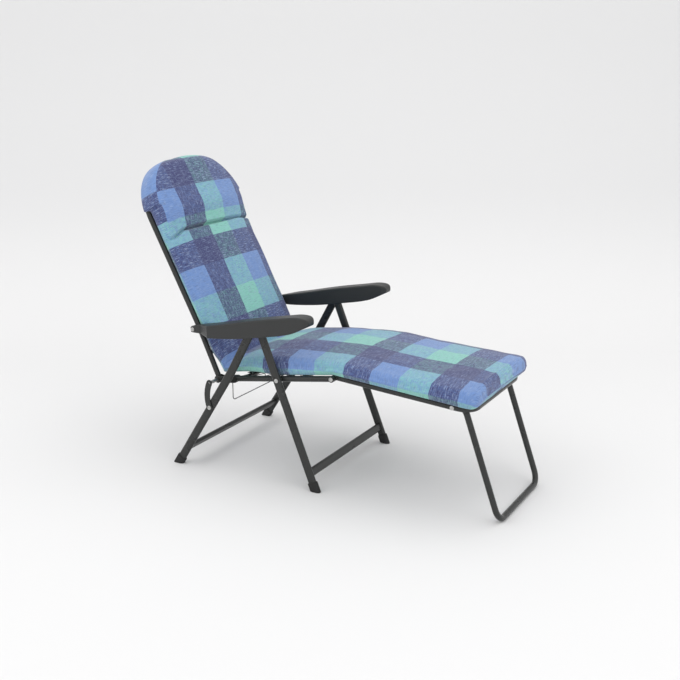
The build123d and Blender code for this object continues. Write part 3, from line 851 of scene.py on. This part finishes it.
def yarns(band, order):
    """The yarns' colour across the bands, which repeat in threes, and where it is navy, which is
    first or second in the order."""
    third = (band / 3.0).maths("FRACT")
    first = third.below(1 / 3)
    last = third.above(2 / 3)
    colour = finish.mix(last, finish.mix(first, order[1], order[0]), order[2])
    dark = first if order[0] == navy else (1 - first) * (1 - last)
    return colour, dark


warp_colour, warp_dark = yarns(u, (blue, navy, mint))
weft_colour, weft_dark = yarns(v, (navy, blue, mint))
weft_share = (weft_dark - warp_dark).maths("MULTIPLY_ADD", 0.27, 0.5)
slub_weft = finish.noise(cloth_place, scale=5.0, stretch=(1.0, 11.0, 1.0))
slub_warp = finish.noise(cloth_place, scale=5.0, stretch=(11.0, 1.0, 1.0))
thread = finish.noise(cloth_place, scale=90.0, detail=2.0)
share = weft_share + (slub_weft - slub_warp) * 1.3 + (thread - 0.5) * 0.5
woven = finish.mix(share.between(0.0, 1.0), warp_colour, weft_colour)
streak = finish.noise(cloth_place, scale=5.0, stretch=(0.9, 9.0, 1.0)).between(0.52, 0.68)
streaked = finish.mix(streak * weft_share, woven, pale_weft)
fleck = finish.noise(cloth_place, scale=5.0, stretch=(9.0, 0.9, 1.0)).between(0.54, 0.70)
flecked = finish.mix(fleck * (1 - weft_share) * 0.8, streaked, pale_warp)
dark = finish.noise(cloth_place, scale=6.0, stretch=(0.8, 9.0, 1.0)).between(0.34, 0.50)
shaded = finish.mix((1 - dark) * 0.3, flecked, dark_yarn)
relief = slub_weft + slub_warp + thread * 0.5
sheen = {"Sheen Weight": 0.25, "Sheen Roughness": 0.5}
mesh.materials.append(finish.done(shaded, 0.85, relief, depth=0.0006, **sheen))


def normals_of(form):
    """The way out of the surface at each vertex."""
    normals = np.empty(len(form.vertices) * 3, np.float32)
    form.vertex_normals.foreach_get("vector", normals)
    return normals.reshape(-1, 3)


# The cover's soft unevenness: slow and quicker waves everywhere but on the underside
wave_depth, slow_wave, quick_wave, quick_share = 0.0028, 9.0, 23.0, 0.5
wave = np.array([
    perlin.noise(Vector(point) * slow_wave) + quick_share * perlin.noise(Vector(point) * quick_wave)
    for point in points
])
free = smooth(point_lifts, 0.016, 0.034)
points += normals_of(mesh) * (wave * wave_depth * free)[:, None]
mesh.vertices.foreach_set("co", points.astype(np.float32).ravel())
mesh.update()

whole = stand("cushion", mesh)
subdivide = whole.modifiers.new("fine", "SUBSURF")
subdivide.levels = subdivide.render_levels = 1
settle(whole)
cloth_mesh = whole.data
bpy.data.objects.remove(whole)
fine_normals = normals_of(cloth_mesh)
fine_faces = 4


def length_of_cushion(name, first_ring, last_ring):
    """One length of the cushion, cut from the whole between two rings and closed inside."""
    piece_mesh = cloth_mesh.copy()
    piece_mesh.name = name
    work = bmesh.new()
    work.from_mesh(piece_mesh)
    work.faces.ensure_lookup_table()
    first_face = first_ring * ring_points * fine_faces
    last_face = last_ring * ring_points * fine_faces
    side_faces = (ring_count - 1) * ring_points * fine_faces
    start_faces = (len(work.faces) - side_faces) // 2
    drop = []
    for face in work.faces:
        if face.index < side_faces:
            kept = first_face <= face.index < last_face
        elif face.index < side_faces + start_faces:
            kept = first_ring == 0
        else:
            kept = last_ring == ring_count - 1
        if not kept:
            drop.append(face)
    marks = work.verts.layers.int.new("source")
    for vertex in work.verts:
        vertex[marks] = vertex.index
    bmesh.ops.delete(work, geom=drop, context="FACES")
    edges = [edge for edge in work.edges if edge.is_boundary]
    bmesh.ops.holes_fill(work, edges=edges, sides=0)
    bmesh.ops.triangulate(work, faces=[face for face in work.faces if len(face.verts) > 4])
    source = np.array([vertex[marks] for vertex in work.verts])
    work.to_mesh(piece_mesh)
    work.free()
    piece_mesh.normals_split_custom_set_from_vertices([tuple(fine_normals[k]) for k in source])
    return stand(name, piece_mesh)


# The five lengths, and distances round the hinge and the knee.
back_bend_reach, seat_bend_reach, knee_bend_reach = 0.11, 0.10, 0.12
headrest = length_of_cushion("cushion_headrest", 0, crease_ring)
back_cushion = length_of_cushion("cushion_back", crease_ring, cut_ring)
seat_rear = length_of_cushion("cushion_seat_rear", cut_ring, middle_ring)
seat_fore = length_of_cushion("cushion_seat_front", middle_ring, knee_ring)
foot_cushion = length_of_cushion("cushion_footrest", knee_ring, ring_count - 1)
bpy.data.meshes.remove(cloth_mesh)
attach(headrest, "back")
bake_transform(back_cushion)
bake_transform(seat_rear)
tuple(knee - seat_way * knee_bend_reach)
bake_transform(seat_fore)
tuple(knee + foot_way * knee_bend_reach)
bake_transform(foot_cushion)
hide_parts("head_pillow", "hood")
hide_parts("back_pad")
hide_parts("seat_pad", "hinge_pad")
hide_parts("knee_pad")
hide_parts("footrest_pad")

# Studio: a pale paper floor that sweeps up into a wall behind the lounger, with three wide soft
# lamps and a pale sky. The paper is painted darker from the floor up into the wall: that is
# painted shade, as the paper itself is one colour.
floor_front, floor_back, floor_half, sweep_radius, wall_top = 4.5, -1.3, 5.0, 1.6, 4.5
# painted shade: the wall's paper colour is the floor's paper painted darker
low_paper, shaded_wall_paper = (0.835, 0.83, 0.825), (0.745, 0.742, 0.74)
view_flat = Vector((camera_way.x, camera_way.y, 0)).normalized()
floor_side = Vector((-view_flat.y, view_flat.x, 0))
sweep = [(floor_front, 0.0), (floor_back, 0.0)]
for angle in np.linspace(0, pi / 2, 24)[1:]:
    sweep.append((floor_back - sweep_radius * sin(angle), sweep_radius - sweep_radius * cos(angle)))
sweep.append((floor_back - sweep_radius, wall_top))
floor_points = []
for reach, rise in sweep:
    for half in (-floor_half, floor_half):
        floor_points.append(view_flat * reach + floor_side * half + Vector((0, 0, rise)))
floor_faces = [(2 * k, 2 * k + 1, 2 * k + 3, 2 * k + 2) for k in range(len(sweep) - 1)]
floor_mesh = bpy.data.meshes.new("floor")
floor_mesh.from_pydata(floor_points, [], floor_faces)
for polygon in floor_mesh.polygons:
    polygon.use_smooth = True
floor = stand("floor", floor_mesh)
finish = Finish("studio_paper_shaded_up_wall")
place = finish.place()
height = finish.node("ShaderNodeSeparateXYZ", {}, place, out="Z")
# painted shade: the paper's colour darkens with height, from the floor's colour to the wall's
paper = finish.mix(height.between(0.0, 0.7), low_paper, shaded_wall_paper)
grain = finish.noise(place, scale=6.0, detail=2.0)
floor_mesh.materials.append(finish.done(paper, 0.9, grain, depth=0.0002))


def soft_lamp(name, place, size, power):
    lamp = stand(name, bpy.data.lights.new(name, "AREA"))
    lamp.data.shape = "DISK"
    lamp.data.size = size
    lamp.data.energy = power
    lamp.location = place
    lamp.rotation_euler = (lamp.location - focus).to_track_quat("Z", "Y").to_euler()


soft_lamp("key_lamp", (-1.9, -3.2, 3.8), size=3.4, power=30.0)
soft_lamp("fill_lamp", (3.4, -1.2, 2.8), size=3.0, power=17.0)
soft_lamp("top_lamp", (0.2, 0.6, 4.2), size=3.2, power=20.0)
world = bpy.data.worlds.new("studio")
bpy.context.scene.world = world
world.use_nodes = True
sky = world.node_tree.nodes["Background"]
sky.inputs["Color"].default_value = (0.985, 0.99, 1.0, 1.0)
sky.inputs["Strength"].default_value = 1.0
